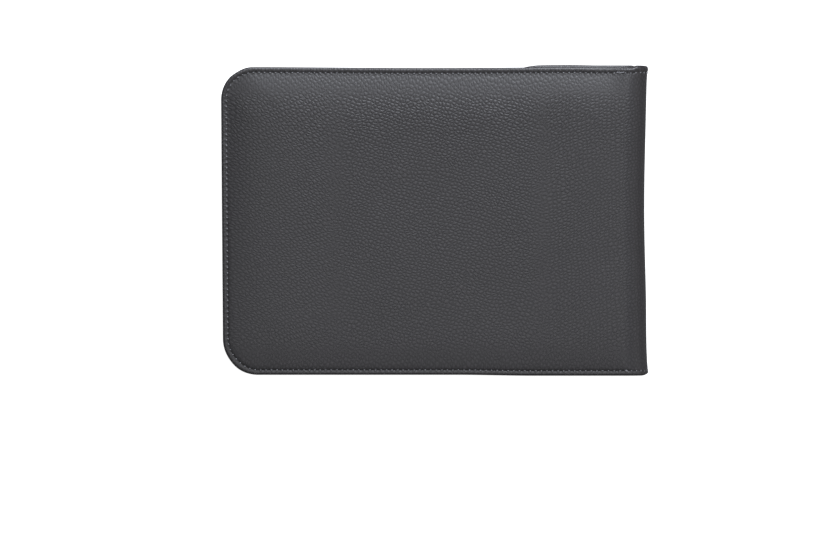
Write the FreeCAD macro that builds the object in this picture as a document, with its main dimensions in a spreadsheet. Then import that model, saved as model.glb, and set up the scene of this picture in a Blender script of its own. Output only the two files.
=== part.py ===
"""Passport holder wallet, closed and lying flat: a leather bifold, two padded halves and a soft spine.

The front half lies underneath and holds the card pockets. The rear half lies on top and holds the passport
pocket. Both halves are drawn outer face down, in the frame of the front half, and the rear half's parts are
turned over about the X axis by their Placement. Millimetres, +Z up, +X towards the spine.
"""
import FreeCAD, Part
import math
import os

import Sketcher
from FreeCAD import Placement, Rotation, Vector

# Driving dimensions: alias, value in millimetres, meaning.
DIMENSIONS = [
    ("closed_length", 141.0, "closed wallet, free edge to spine"),
    ("closed_height", 102.0, "closed wallet, along the spine"),
    ("closed_thickness", 16.0, "closed wallet, over both padded faces"),
    ("corner_radius", 11.2, "rounded corners at the free edge"),
    ("leather", 0.9, "outer leather"),
    ("foam", 1.1, "padding under the outer leather"),
    ("board", 0.4, "stiffening board"),
    ("lining", 0.25, "lining cloth"),
    ("rim_width", 2.2, "turned and stitched edge"),
    ("rim_wall", 2.6, "edge to the recess for the board and lining"),
    ("padding_run", 16.0, "distance over which the padding reaches full height"),
    ("plateau_radius", 5.0, "corners of the flat middle of the padding"),
    ("fold_gap", 0.4, "clearance between a half and the spine"),
    ("play", 0.1, "clearance round the board and the lining"),
    ("seam_inset", 1.6, "edge to the middle of the seam"),
    ("thread_width", 0.4, "seam thread, across"),
    ("thread_height", 0.25, "seam thread, above its groove's floor"),
    ("groove_play", 0.05, "clearance each side of a sunk thread"),
    ("panel_inset", 0.5, "edge of the cover to the edge of a pocket panel"),
    ("seam_band", 3.0, "edge of the cover to the foot of a pocket's wall"),
    ("wall_run", 2.5, "sideways run of a pocket's sloping wall"),
    ("wall_offset", 0.5, "inner face of a pocket's wall behind its outer face"),
    ("slip_band", 3.8, "edge of the cover to the foot of the slip pocket's wall"),
    ("slip_space", 0.5, "room for papers in the slip pocket"),
    ("slip_leather", 0.5, "slip pocket panel"),
    ("card_space", 0.8, "room for one card in a card pocket"),
    ("card_leather", 0.45, "card pocket leather"),
    ("card_fabric", 0.25, "card pocket cloth"),
    ("card_pitch", 16.0, "step from one pocket mouth to the next"),
    ("card_depth", 57.0, "mouth of a card pocket to its sewn bottom"),
    ("card_half_width", 44.5, "half the width of a card pocket's cloth"),
    ("fabric_wall", 0.5, "sewn bottom of a card pocket's cloth"),
    ("passport_space", 4.25, "room for the passport booklet"),
    ("passport_leather", 0.5, "passport pocket panel"),
    ("passport_backing", 0.2, "cloth behind the passport pocket panel"),
    ("notch_radius", 15.0, "thumb notch in the passport pocket's mouth"),
    ("notch_offset", 5.0, "centre of the notch's arc past the mouth"),
    ("mouth_stitch", 2.5, "mouth of a pocket to its stitch line"),
    ("mouth_thread", 0.15, "height of a mouth's thread above its groove's floor"),
    ("mouth_groove", 0.2, "depth of the groove under a mouth's thread"),
    ("bartack_length", 2.4, "bartack at the pocket's mouth, along the seam"),
    ("bartack_width", 0.7, "bartack, across the seam"),
    ("cut_past", 1.0, "how far a cut runs past the face that it opens through"),
]

# Derived sizes, as expressions of the spreadsheet's cells.
HALF_LENGTH = "dims.closed_length / 2"
HALF_HEIGHT = "dims.closed_height / 2"
FOLD_RADIUS = "dims.closed_thickness / 2"
BEND_X = f"({HALF_LENGTH} - {FOLD_RADIUS})"
COVER_END = f"({BEND_X} - dims.fold_gap)"
PAST_END = f"({COVER_END} + 2 * dims.cut_past)"
PLATEAU_INSET = "(dims.rim_width + dims.padding_run)"
RECESS_INSET = "(dims.rim_wall + dims.padding_run)"
LEVEL_RIM = "dims.foam"
LEVEL_BOARD = "(dims.leather + dims.foam)"
LEVEL_LINING = f"({LEVEL_BOARD} + dims.board)"
LEVEL_INSIDE = f"({LEVEL_LINING} + dims.lining)"
LEVEL_SLIP = f"({LEVEL_INSIDE} + dims.slip_space)"
LEVEL_SLIP_FLANGE = f"({LEVEL_INSIDE} + dims.slip_leather)"
LEVEL_CARD_FLANGE = f"({LEVEL_SLIP_FLANGE} + dims.card_leather)"
LEVEL_PASSPORT = f"({LEVEL_INSIDE} + dims.passport_space)"
CARD_POCKETS = [4, 3, 2, 1]  # from the one nearest the spine to the front one
STRIP_POCKETS = CARD_POCKETS[:-1]

doc = FreeCAD.newDocument("passport_wallet")
parts = {}


def make_sheet():
    """The spreadsheet of driving dimensions, one alias a row."""
    sheet = doc.addObject("Spreadsheet::Sheet", "dims")
    for row, (alias, value, meaning) in enumerate(DIMENSIONS, start=1):
        sheet.set(f"A{row}", meaning)
        sheet.set(f"B{row}", str(value))
        sheet.setAlias(f"B{row}", alias)
    doc.recompute()


# ---------------------------------------------------------------- helpers


def new_body(label, turned_over=False):
    """An empty body. A turned-over one belongs to the rear half, which lies face up on the front half."""
    body = doc.addObject("PartDesign::Body", label)
    body.Label = label
    if turned_over:
        body.Placement = Placement(Vector(0, 0, 0), Rotation(Vector(1, 0, 0), 180))
        body.setExpression("Placement.Base.z", "dims.closed_thickness")
    parts[label] = body
    return body


def new_sketch(body, name, level, plane="XY_Plane", across=None):
    """A sketch on a plane of the body, moved level along its normal and across along its vertical."""
    sketch = body.newObject("Sketcher::SketchObject", name)
    origin_plane = next(f for f in body.Origin.OriginFeatures if f.Role == plane)
    sketch.AttachmentSupport = [(origin_plane, "")]
    sketch.MapMode = "FlatFace"
    sketch.setExpression("AttachmentOffset.Base.z", level)
    if across:
        sketch.setExpression("AttachmentOffset.Base.y", across)
    return sketch


def drive(sketch, kind, references, start_value, expression):
    """A dimension of the sketch that follows an expression."""
    index = sketch.addConstraint(Sketcher.Constraint(kind, *references, start_value))
    name = f"size_{index}"
    sketch.renameConstraint(index, name)
    sketch.setExpression(f"Constraints.{name}", expression)


def add_outline(sketch, inset, right, radius=None):
    """A half's outline, inset from its edge: rounded at the free edge, square at the spine."""
    first = sketch.GeometryCount
    top, arc_top, left, arc_bottom, bottom, end = range(first, first + 6)
    start_x, start_y, start_r = 60.0, 40.0, 6.0
    corner_x, corner_y = start_x - start_r, start_y - start_r
    up = Vector(0, 0, 1)
    quarter = math.pi / 2

    def line(x0, y0, x1, y1):
        sketch.addGeometry(Part.LineSegment(Vector(x0, y0, 0), Vector(x1, y1, 0)), False)

    def arc(x, y, from_angle):
        circle = Part.Circle(Vector(x, y, 0), up, start_r)
        sketch.addGeometry(Part.ArcOfCircle(circle, from_angle, from_angle + quarter), False)

    line(start_x, start_y, -corner_x, start_y)
    arc(-corner_x, corner_y, quarter)
    line(-start_x, corner_y, -start_x, -corner_y)
    arc(-corner_x, -corner_y, 2 * quarter)
    line(-corner_x, -start_y, start_x, -start_y)
    line(start_x, -start_y, start_x, start_y)
    for a, b in [(top, arc_top), (arc_top, left), (left, arc_bottom), (arc_bottom, bottom)]:
        sketch.addConstraint(Sketcher.Constraint("Tangent", a, 2, b, 1))
    for a, b in [(bottom, end), (end, top)]:
        sketch.addConstraint(Sketcher.Constraint("Coincident", a, 2, b, 1))
    for edge in (top, bottom):
        sketch.addConstraint(Sketcher.Constraint("Horizontal", edge))
    for edge in (left, end):
        sketch.addConstraint(Sketcher.Constraint("Vertical", edge))
    sketch.addConstraint(Sketcher.Constraint("Equal", arc_top, arc_bottom))
    drive(sketch, "Radius", [arc_top], start_r, radius or f"dims.corner_radius - {inset}")
    drive(sketch, "DistanceX", [-1, 1, end, 1], start_x, right)
    drive(sketch, "DistanceX", [left, 1, -1, 1], start_x, f"{HALF_LENGTH} - {inset}")
    drive(sketch, "DistanceY", [-1, 1, top, 1], start_y, f"{HALF_HEIGHT} - {inset}")
    drive(sketch, "DistanceY", [bottom, 2, -1, 1], start_y, f"{HALF_HEIGHT} - {inset}")


def outline(body, name, level, inset, right=COVER_END, radius=None):
    """A sketch of a half's outline at a level above the outer face."""
    sketch = new_sketch(body, name, level)
    add_outline(sketch, inset, right, radius)
    return sketch


def rectangle(body, name, level, left, right, half_height):
    """A sketch of a rectangle centred on the X axis."""
    sketch = new_sketch(body, name, level)
    corners = [(-20, -10), (20, -10), (20, 10), (-20, 10)]
    for i in range(4):
        a, b = corners[i], corners[(i + 1) % 4]
        sketch.addGeometry(Part.LineSegment(Vector(*a, 0), Vector(*b, 0)), False)
    for i in range(4):
        sketch.addConstraint(Sketcher.Constraint("Coincident", i, 2, (i + 1) % 4, 1))
        direction = "Horizontal" if i % 2 == 0 else "Vertical"
        sketch.addConstraint(Sketcher.Constraint(direction, i))
    drive(sketch, "DistanceX", [-1, 1, 0, 1], -20.0, left)
    drive(sketch, "DistanceX", [-1, 1, 0, 2], 20.0, right)
    drive(sketch, "DistanceY", [-1, 1, 1, 2], 10.0, half_height)
    drive(sketch, "DistanceY", [0, 1, -1, 1], 10.0, half_height)
    return sketch


def mirrored_polygon(sketch, points):
    """A closed polygon from its right-hand points, mirrored about the sketch's vertical."""
    count = len(points)
    start = [Vector(10 + 5 * i, 5 + i, 0) for i in range(count)]
    start += [Vector(-p.x, p.y, 0) for p in reversed(start)]
    total = len(start)
    for i in range(total):
        sketch.addGeometry(Part.LineSegment(start[i], start[(i + 1) % total]), False)
    for i in range(total):
        sketch.addConstraint(Sketcher.Constraint("Coincident", i, 2, (i + 1) % total, 1))
    for i, (across, up) in enumerate(points):
        drive(sketch, "DistanceX", [-1, 1, i, 1], start[i].x, across)
        drive(sketch, "DistanceY", [-1, 1, i, 1], start[i].y, up)
        sketch.addConstraint(Sketcher.Constraint("Symmetric", i, 1, total - 1 - i, 1, -2))


def pad(body, name, sketch, length):
    """Material from the sketch's plane along its normal."""
    feature = body.newObject("PartDesign::Pad", name)
    feature.Profile = sketch
    feature.setExpression("Length", length)
    return feature


def pocket(body, name, sketch, length):
    """A cut from the sketch's plane along its normal."""
    feature = body.newObject("PartDesign::Pocket", name)
    feature.Profile = sketch
    feature.Reversed = True
    feature.setExpression("Length", length)
    return feature


def loft(body, name, kind, low, high):
    """A straight-sided loft between two sketches. kind is Additive or Subtractive."""
    feature = body.newObject(f"PartDesign::{kind}Loft", name)
    feature.Profile = low
    feature.Sections = [high]
    feature.Ruled = True
    return feature


def mouth_of(number):
    """Where a pocket's mouth is along X. The slip pocket is number 5, and card pockets 4 to 1 step back."""
    return f"({COVER_END} - {5 - number} * dims.card_pitch)"


def card_level(number):
    """The underside of a card pocket's leather, above the outer face."""
    layers = 4 - number
    slip_top = f"{LEVEL_SLIP} + dims.slip_leather"
    return f"({slip_top} + dims.card_space + {layers} * (dims.card_fabric + dims.card_space))"


# ---------------------------------------------------------------- covers


def make_cover_leather(half, turned_over):
    """The outer leather: a turned rim, a skin that swells over the padding, and the seam's groove."""
    body = new_body(f"{half}_cover_leather", turned_over)
    rim = outline(body, f"{half}_rim_outline", LEVEL_RIM, "0")
    pad(body, f"{half}_rim", rim, f"{LEVEL_INSIDE} - {LEVEL_RIM}")
    swell_foot = outline(body, f"{half}_swell_foot", LEVEL_RIM, "dims.rim_width")
    swell_top = outline(body, f"{half}_swell_top", "0", PLATEAU_INSET, radius="dims.plateau_radius")
    loft(body, f"{half}_swell", "Additive", swell_foot, swell_top)
    recess_foot = outline(body, f"{half}_recess_foot", LEVEL_BOARD, "dims.rim_wall", PAST_END)
    recess_top = outline(
        body, f"{half}_recess_top", "dims.leather", RECESS_INSET, PAST_END, "dims.plateau_radius"
    )
    loft(body, f"{half}_padding_recess", "Subtractive", recess_foot, recess_top)
    board_outline = outline(body, f"{half}_board_recess_outline", LEVEL_BOARD, "dims.rim_wall", PAST_END)
    pocket(body, f"{half}_board_recess", board_outline, "dims.board + dims.lining + dims.cut_past")
    groove = new_sketch(body, f"{half}_groove_outline", LEVEL_RIM)
    reach = "(dims.thread_width / 2 + dims.groove_play)"
    add_outline(groove, f"(dims.seam_inset - {reach})", f"{PAST_END} + dims.cut_past")
    add_outline(groove, f"(dims.seam_inset + {reach})", PAST_END)
    pocket(body, f"{half}_seam_groove", groove, "dims.thread_height + dims.groove_play")


def make_padding(half, turned_over):
    """The foam sheet, skived to nothing at the rim."""
    body = new_body(f"{half}_padding", turned_over)
    foot = outline(body, f"{half}_padding_foot", LEVEL_BOARD, "(dims.rim_wall + dims.play)")
    top = outline(
        body,
        f"{half}_padding_top",
        "dims.leather + dims.play / 2",
        f"({RECESS_INSET} + dims.play)",
        radius="dims.plateau_radius",
    )
    loft(body, f"{half}_padding_loft", "Additive", foot, top)


def make_flat_layer(half, name, level, thickness, turned_over):
    """The board or the lining, which fill the recess inside the rim."""
    body = new_body(f"{half}_{name}", turned_over)
    shape = outline(body, f"{half}_{name}_outline", level, "(dims.rim_wall + dims.play)")
    pad(body, f"{half}_{name}_pad", shape, thickness)


def make_seam_thread(half, name, level, turned_over, right=COVER_END):
    """One run of the seam round the free edges, as a flat thread."""
    body = new_body(f"{half}_{name}", turned_over)
    outer = outline(body, f"{name}_outer", level, "(dims.seam_inset - dims.thread_width / 2)", right)
    pad(body, f"{name}_band", outer, "dims.thread_height")
    inner = outline(body, f"{name}_inner", level, "(dims.seam_inset + dims.thread_width / 2)", PAST_END)
    pocket(body, f"{name}_inside", inner, "dims.thread_height + dims.cut_past")


def make_box(label, placement, sizes, turned_over=False):
    """A plain box from expressions: its low corner in the half's frame and its three sizes."""
    box = doc.addObject("Part::Box", label)
    for size, expression in zip(("Length", "Width", "Height"), sizes):
        box.setExpression(size, expression)
    x, y, z = placement
    if turned_over:
        box.Placement = Placement(Vector(0, 0, 0), Rotation(Vector(1, 0, 0), 180))
        y = f"-({y})"
        z = f"dims.closed_thickness - ({z})"
    for axis, expression in zip("xyz", (x, y, z)):
        box.setExpression(f"Placement.Base.{axis}", expression)
    return box


def make_group(label, members):
    """Several separate solids that share one node."""
    group = doc.addObject("Part::Compound", label)
    group.Label = label
    group.Links = members
    parts[label] = group


def make_bartacks(half, turned_over):
    """The dense stitches that lock the seam at the pocket's mouth, one at each end of the spine."""
    members = []
    for side, sign in (("low", -1), ("high", 1)):
        middle = f"{sign} * ({HALF_HEIGHT} - dims.seam_inset)"
        corner = (
            f"{COVER_END} - dims.fold_gap - dims.bartack_length",
            f"{middle} - dims.bartack_width / 2",
            f"{LEVEL_RIM} - dims.thread_height",
        )
        sizes = ("dims.bartack_length", "dims.bartack_width", "dims.thread_height")
        members.append(make_box(f"{half}_bartack_{side}", corner, sizes, turned_over))
    make_group(f"{half}_bartacks", members)


def make_cover(half, turned_over):
    """Everything that the two halves have in common."""
    make_cover_leather(half, turned_over)
    make_padding(half, turned_over)
    make_flat_layer(half, "board", LEVEL_BOARD, "dims.board", turned_over)
    make_flat_layer(half, "lining", LEVEL_LINING, "dims.lining", turned_over)
    make_seam_thread(half, "seam_outer_thread", f"{LEVEL_RIM} + dims.groove_play", turned_over)
    make_bartacks(half, turned_over)


# ---------------------------------------------------------------- pockets


def make_pocket_panel(label, base, underside, leather, band, mouth, turned_over=False):
    """A leather panel sewn flat along three edges, whose walls slope up to leave room behind it."""
    body = new_body(label, turned_over)
    flange = outline(body, f"{label}_flange_outline", base, "dims.panel_inset", mouth)
    pad(body, f"{label}_flange", flange, leather)
    foot = outline(body, f"{label}_wall_foot", f"{base} + {leather}", band, mouth)
    top = outline(body, f"{label}_wall_top", f"{underside} + {leather}", f"({band} + dims.wall_run)", mouth)
    loft(body, f"{label}_wall", "Additive", foot, top)
    inner_band = f"({band} + dims.wall_offset)"
    inner_top = f"({inner_band} + dims.wall_run)"
    space_foot = outline(body, f"{label}_space_foot", base, inner_band, PAST_END)
    space_top = outline(body, f"{label}_space_top", underside, inner_top, PAST_END)
    loft(body, f"{label}_space", "Subtractive", space_foot, space_top)
    return body


def cut_mouth_groove(body, mouth, top):
    """The shallow groove that a mouth's stitch line lies in."""
    name = body.Label
    reach = "(dims.thread_width / 2 + dims.groove_play)"
    line_x = f"({mouth} - dims.mouth_stitch)"
    groove = rectangle(
        body,
        f"{name}_groove_outline",
        f"{top} - dims.mouth_groove",
        f"{line_x} - {reach}",
        f"{line_x} + {reach}",
        "dims.card_half_width",
    )
    pocket(body, f"{name}_mouth_groove", groove, "dims.mouth_groove + dims.cut_past")


def make_straight_thread(label, start, level):
    """A stitch line across a card pocket, from its edge nearest the free edge and its underside."""
    half_width = "(dims.card_half_width - dims.groove_play)"
    sizes = ("dims.thread_width", f"2 * {half_width}", "dims.mouth_thread")
    return make_box(label, (start, f"-{half_width}", level), sizes)


def make_mouth_thread(label, mouth, top):
    """A mouth's stitch line, sunk in its groove."""
    start = f"{mouth} - dims.mouth_stitch - dims.thread_width / 2"
    return make_straight_thread(label, start, f"{top} - dims.mouth_groove")


def make_card_strip(number):
    """The leather of a stepped card pocket: a strip across the half, sewn down at both ends."""
    body = new_body(f"card_pocket_{number}_strip")
    base, underside = LEVEL_SLIP_FLANGE, card_level(number)
    foot, top = "dims.seam_band", "(dims.seam_band + dims.wall_run)"
    points = [
        (f"{HALF_HEIGHT} - {top} - dims.wall_offset", underside),
        (f"{HALF_HEIGHT} - {foot} - dims.wall_offset", base),
        (f"{HALF_HEIGHT} - dims.panel_inset", base),
        (f"{HALF_HEIGHT} - dims.panel_inset", f"{base} + dims.card_leather"),
        (f"{HALF_HEIGHT} - {foot}", f"{base} + dims.card_leather"),
        (f"{HALF_HEIGHT} - {top}", f"{underside} + dims.card_leather"),
    ]
    section = new_sketch(body, f"card_{number}_section", mouth_of(number - 1), "YZ_Plane")
    mirrored_polygon(section, points)
    pad(body, f"card_{number}_strip_pad", section, "dims.card_pitch")
    cut_mouth_groove(body, mouth_of(number), f"{underside} + dims.card_leather")


def make_card_fabric(number):
    """The cloth that carries a stepped card pocket down to its sewn bottom."""
    body = new_body(f"card_pocket_{number}_fabric")
    underside = card_level(number)
    bottom = f"{mouth_of(number)} - dims.card_depth"
    sheet = rectangle(
        body, f"card_{number}_sheet", underside, bottom, mouth_of(number - 1), "dims.card_half_width"
    )
    pad(body, f"card_{number}_sheet_pad", sheet, "dims.card_fabric")
    slip_top = f"{LEVEL_SLIP} + dims.slip_leather"
    wall = rectangle(
        body,
        f"card_{number}_wall",
        slip_top,
        bottom,
        f"{bottom} + dims.fabric_wall",
        "dims.card_half_width",
    )
    pad(body, f"card_{number}_wall_pad", wall, f"{underside} - ({slip_top})")


def make_base_threads():
    """The stitch lines that close the bottoms of the stepped card pockets."""
    members = []
    for number in STRIP_POCKETS:
        start = f"{mouth_of(number)} - dims.card_depth + dims.groove_play"
        level = f"{card_level(number)} + dims.card_fabric"
        members.append(make_straight_thread(f"base_thread_{number}", start, level))
    make_group("card_pocket_base_threads", members)


def make_front_pockets():
    """The slip pocket, the four stepped card pockets on it, and their stitches."""
    slip_top = f"{LEVEL_SLIP} + dims.slip_leather"
    slip = make_pocket_panel(
        "slip_pocket_panel", LEVEL_INSIDE, LEVEL_SLIP, "dims.slip_leather", "dims.slip_band", COVER_END
    )
    cut_mouth_groove(slip, mouth_of(5), slip_top)
    for number in STRIP_POCKETS:
        make_card_strip(number)
        make_card_fabric(number)
    front_level = card_level(1)
    front_card = make_pocket_panel(
        "card_pocket_1_panel",
        LEVEL_SLIP_FLANGE,
        front_level,
        "dims.card_leather",
        "dims.seam_band",
        mouth_of(1),
    )
    cut_mouth_groove(front_card, mouth_of(1), f"{front_level} + dims.card_leather")
    threads = [make_mouth_thread("slip_mouth_thread", mouth_of(5), slip_top)]
    for number in CARD_POCKETS:
        top = f"{card_level(number)} + dims.card_leather"
        threads.append(make_mouth_thread(f"card_{number}_mouth_thread", mouth_of(number), top))
    make_group("card_pocket_mouth_threads", threads)
    make_base_threads()
    make_seam_thread("front", "seam_inner_thread", LEVEL_CARD_FLANGE, False, mouth_of(4))


def cut_thumb_notch(body, level):
    """A scoop in the middle of the pocket's mouth, for a thumb to push the passport out."""
    sketch = new_sketch(body, f"{body.Label}_notch_outline", level)
    sketch.addGeometry(Part.Circle(Vector(60, 0, 0), Vector(0, 0, 1), 12), False)
    drive(sketch, "Radius", [0], 12.0, "dims.notch_radius")
    drive(sketch, "DistanceX", [-1, 1, 0, 3], 60.0, f"{COVER_END} + dims.notch_offset")
    sketch.addConstraint(Sketcher.Constraint("PointOnObject", 0, 3, -1))
    depth = "dims.passport_leather + dims.passport_backing + dims.cut_past"
    pocket(body, f"{body.Label}_notch", sketch, depth)


def make_rear_pockets():
    """The passport pocket and its backing cloth."""
    leather_level = f"({LEVEL_PASSPORT} + dims.passport_backing)"
    panel = make_pocket_panel(
        "passport_pocket_panel",
        LEVEL_INSIDE,
        leather_level,
        "dims.passport_leather",
        "dims.seam_band",
        COVER_END,
        True,
    )
    cut_thumb_notch(panel, LEVEL_PASSPORT)
    backing = new_body("passport_pocket_backing", True)
    inset = "(dims.seam_band + dims.wall_run + dims.wall_offset + dims.play)"
    sheet = outline(backing, "backing_outline", LEVEL_PASSPORT, inset)
    pad(backing, "backing_pad", sheet, "dims.passport_backing")
    cut_thumb_notch(backing, LEVEL_PASSPORT)
    flange_top = f"{LEVEL_INSIDE} + dims.passport_leather"
    make_seam_thread("rear", "seam_inner_thread", flange_top, True)


# ---------------------------------------------------------------- spine


def make_spine_leather():
    """The cover's section, swept half a turn from the front half to the rear half."""
    body = new_body("spine_leather")
    section = new_sketch(body, "spine_section", BEND_X, "YZ_Plane", across=FOLD_RADIUS)
    outer = FOLD_RADIUS
    rim_radius = f"{FOLD_RADIUS} - {LEVEL_RIM}"
    reach = "(dims.thread_width / 2 + dims.groove_play)"
    groove_radius = f"{rim_radius} - dims.thread_height - dims.groove_play"
    points = [
        (f"{HALF_HEIGHT} - {RECESS_INSET}", f"{FOLD_RADIUS} - dims.leather"),
        (f"{HALF_HEIGHT} - dims.rim_wall", f"{FOLD_RADIUS} - {LEVEL_BOARD}"),
        (f"{HALF_HEIGHT} - dims.rim_wall", f"{FOLD_RADIUS} - {LEVEL_INSIDE}"),
        (HALF_HEIGHT, f"{FOLD_RADIUS} - {LEVEL_INSIDE}"),
        (HALF_HEIGHT, rim_radius),
        (f"{HALF_HEIGHT} - dims.seam_inset + {reach}", rim_radius),
        (f"{HALF_HEIGHT} - dims.seam_inset + {reach}", groove_radius),
        (f"{HALF_HEIGHT} - dims.seam_inset - {reach}", groove_radius),
        (f"{HALF_HEIGHT} - dims.seam_inset - {reach}", rim_radius),
        (f"{HALF_HEIGHT} - dims.rim_width", rim_radius),
        (f"{HALF_HEIGHT} - {PLATEAU_INSET}", outer),
    ]
    mirrored_polygon(section, points)
    revolve(body, "spine_leather_turn", section)


def revolve(body, name, section):
    """Half a turn about the sketch's horizontal axis, which runs down the middle of the spine."""
    feature = body.newObject("PartDesign::Revolution", name)
    feature.Profile = section
    feature.ReferenceAxis = (section, ["H_Axis"])
    feature.Angle = 180.0


def make_spine_layer(label, outer_depth, thickness):
    """A layer inside the spine: a half tube at a depth below the outer leather's face."""
    body = new_body(label)
    section = new_sketch(body, f"{label}_section", BEND_X, "YZ_Plane", across=FOLD_RADIUS)
    reach = f"{HALF_HEIGHT} - dims.rim_wall - dims.play"
    points = [
        (reach, f"{FOLD_RADIUS} - ({outer_depth}) - {thickness}"),
        (reach, f"{FOLD_RADIUS} - ({outer_depth})"),
    ]
    mirrored_polygon(section, points)
    revolve(body, f"{label}_turn", section)


def make_half_ring(label, radius, middle_y):
    """A half tube about the spine's axis, as wide as the seam thread, on the side away from the halves."""
    turned = Rotation(Vector(1, 1, 1), 240)  # carries a cylinder's Z to +Y and its open half to +X
    cylinder = doc.addObject("Part::Cylinder", label)
    cylinder.Angle = 180.0
    cylinder.setExpression("Radius", radius)
    cylinder.setExpression("Height", "dims.thread_width")
    cylinder.Placement = Placement(Vector(0, 0, 0), turned)
    cylinder.setExpression("Placement.Base.x", BEND_X)
    cylinder.setExpression("Placement.Base.y", f"{middle_y} - dims.thread_width / 2")
    cylinder.setExpression("Placement.Base.z", FOLD_RADIUS)
    return cylinder


def make_spine_thread():
    """The seam's run over each end of the spine."""
    members = []
    floor = f"{FOLD_RADIUS} - {LEVEL_RIM} - dims.thread_height - dims.groove_play / 2"
    for side, sign in (("low", -1), ("high", 1)):
        middle = f"{sign} * ({HALF_HEIGHT} - dims.seam_inset)"
        ring = doc.addObject("Part::Cut", f"spine_thread_{side}")
        ring.Base = make_half_ring(f"spine_thread_{side}_outer", f"{floor} + dims.thread_height", middle)
        ring.Tool = make_half_ring(f"spine_thread_{side}_inner", floor, middle)
        members.append(ring)
    make_group("spine_seam_thread", members)


def make_spine():
    """The soft spine, as it lies when the wallet is closed."""
    make_spine_leather()
    make_spine_layer("spine_interlining", f"{LEVEL_BOARD} + dims.play / 2", "dims.board")
    make_spine_layer("spine_lining", f"{LEVEL_LINING} + dims.play", "dims.lining")
    make_spine_thread()


# ---------------------------------------------------------------- build, check, write


def check_and_write():
    """Every object has to have recomputed cleanly and every sub-part has to be a sound shape."""
    doc.recompute()
    failed = [o.Name for o in doc.Objects if "Invalid" in o.State or "Error" in o.State]
    if failed:
        raise SystemExit(f"objects that did not recompute: {failed}")
    for label, part in parts.items():
        if part.Shape.isNull() or not part.Shape.isValid():
            raise SystemExit(f"{label} has no sound shape")
    os.makedirs("parts", exist_ok=True)
    for label, part in parts.items():
        part.Shape.exportStep(f"parts/{label}.step")
        box = part.Shape.BoundBox
        spans = ((box.XMin, box.XMax), (box.YMin, box.YMax), (box.ZMin, box.ZMax))
        sizes = "  ".join(f"{low:7.2f} {high:7.2f}" for low, high in spans)
        print(f"{label:28s} {len(part.Shape.Solids)} solids  {part.Shape.Volume:9.2f} mm3  {sizes}")


make_sheet()
make_cover("front", False)
make_front_pockets()
make_cover("rear", True)
make_rear_pockets()
make_spine()
check_and_write()
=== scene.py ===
"""The looks of a closed bifold passport wallet in pebbled leather: covers, seams, lining and pockets.

Every soft piece is drawn in its flat pattern, in millimetres: u runs from the free edge to the middle
of the spine, y along the spine, and depth from the outer face of the cover towards the inside. fold()
then bends the pattern round the spine and turns the rear half over.
"""

import copy
import math

import bmesh
import bpy
import numpy as np
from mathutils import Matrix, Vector


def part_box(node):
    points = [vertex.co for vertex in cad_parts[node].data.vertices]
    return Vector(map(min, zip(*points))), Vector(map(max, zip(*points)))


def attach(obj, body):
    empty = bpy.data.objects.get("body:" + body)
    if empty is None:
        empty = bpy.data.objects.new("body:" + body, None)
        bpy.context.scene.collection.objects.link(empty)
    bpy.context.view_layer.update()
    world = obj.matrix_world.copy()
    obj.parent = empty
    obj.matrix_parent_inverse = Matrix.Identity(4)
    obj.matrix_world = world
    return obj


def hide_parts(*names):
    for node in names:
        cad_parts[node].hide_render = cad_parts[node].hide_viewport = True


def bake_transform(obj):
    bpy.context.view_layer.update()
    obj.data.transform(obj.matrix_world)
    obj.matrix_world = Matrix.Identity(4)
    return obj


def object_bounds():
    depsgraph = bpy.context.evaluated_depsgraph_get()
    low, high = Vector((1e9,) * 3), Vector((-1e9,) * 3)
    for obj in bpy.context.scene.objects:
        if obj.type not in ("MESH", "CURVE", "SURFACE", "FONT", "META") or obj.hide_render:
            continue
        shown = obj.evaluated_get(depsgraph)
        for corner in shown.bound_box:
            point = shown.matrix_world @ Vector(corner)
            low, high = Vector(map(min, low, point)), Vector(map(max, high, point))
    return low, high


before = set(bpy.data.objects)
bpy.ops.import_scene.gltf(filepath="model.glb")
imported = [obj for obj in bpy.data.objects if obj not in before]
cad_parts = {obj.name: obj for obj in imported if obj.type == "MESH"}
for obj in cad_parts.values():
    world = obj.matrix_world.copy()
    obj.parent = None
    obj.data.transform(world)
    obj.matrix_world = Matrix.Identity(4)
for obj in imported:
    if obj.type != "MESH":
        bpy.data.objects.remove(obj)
cad_low, cad_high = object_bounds()

MM = 0.001

# Sizes that come from the frame.
HALF_X = -cad_low.x / MM
HALF_Y = cad_high.y / MM
THICK = cad_high.z / MM
FOLD_R = THICK / 2
BEND_X = HALF_X - FOLD_R
SPINE_U = BEND_X + FOLD_R * math.pi / 2  # pattern length up to the middle of the spine
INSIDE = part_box("front_cover_leather")[1].z / MM  # inner face of a half
SLIP_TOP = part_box("slip_pocket_panel")[1].z / MM
POCKET_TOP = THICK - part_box("passport_pocket_panel")[0].z / MM
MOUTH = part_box("passport_pocket_panel")[1].x / MM
CARD_POCKETS = (4, 3, 2, 1)

# The cover's edge, seam and padding.
CORNER_HIGH, CORNER_LOW = 10.8, 11.8  # radii
CORNER_EASE = 3.5  # how much smaller the corners' radii get towards the middle
BEAD = 0.78  # radius of the turned edge
RIM_HIGH, RIM_LOW = 1.3, 0.8  # depth of the turned edge's top below the middle of the cover
SEAM = 1.7  # inset of the seam
VALLEY_HIGH, VALLEY_LOW = 0.13, 0.03  # depth of the seam below the turned edge
STEP_HIGH, STEP_LOW = 0.04, 0.26  # the leather's first steep rise after the seam
STEP_RUN = 0.42  # distance from the seam in which the step fades
PADDING_RUN = 17.0  # distance from the seam at which the padding has its full height
SWELL_POWER = 2.6  # how much of that height is reached early
HEM = 6.0  # width of the turned edge on the inside
HEM_DEPTH = 2.55  # depth of the turned edge's inner face
BACK = 2.35  # depth of the cover's hidden back
FRONT_SHIFT, FRONT_SHIFT_U = 1.02, 29  # how far the front cover shows past the rear one, and from where
COARSE = 0.62  # size of the cover's faces away from the seam
CORNER_STEPS = 16
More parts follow.
